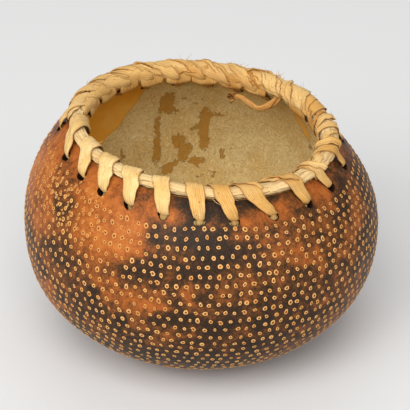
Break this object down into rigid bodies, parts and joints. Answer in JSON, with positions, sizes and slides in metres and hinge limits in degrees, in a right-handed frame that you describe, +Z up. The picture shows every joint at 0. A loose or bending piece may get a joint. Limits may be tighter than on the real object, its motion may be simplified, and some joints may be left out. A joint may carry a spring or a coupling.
{
  "type": "gourd bowl",
  "caption": "Round bowl cut from a dried gourd, pricked all over with small pits, its open rim bound with laced strips of dried leaf.",
  "frame": {"origin": "middle of the flat spot that the bowl stands on, under the middle of its widest ring", "axes": "+Z up through the mouth, +X to the bowl's right and -Y to its front"},
  "size_m": [0.1899, 0.1899, 0.134],
  "materials": {
    "gourd_skin": "orange-brown dried gourd skin with dark brown stains and a satin polish, and cream pith inside",
    "leaf_core": "matt dried leaf, cream",
    "leaf_pale": "matt dried leaf with fine lengthwise veins, pale cream",
    "leaf_tan": "matt dried leaf with fine lengthwise veins, tan"
  },
  "bodies": {
    "root": {"gourd_shell": "gourd_skin", "rim_core": "leaf_core", "lacing_strip_pale": "leaf_pale", "lacing_strip_tan": "leaf_tan"}
  },
  "joints": []
}
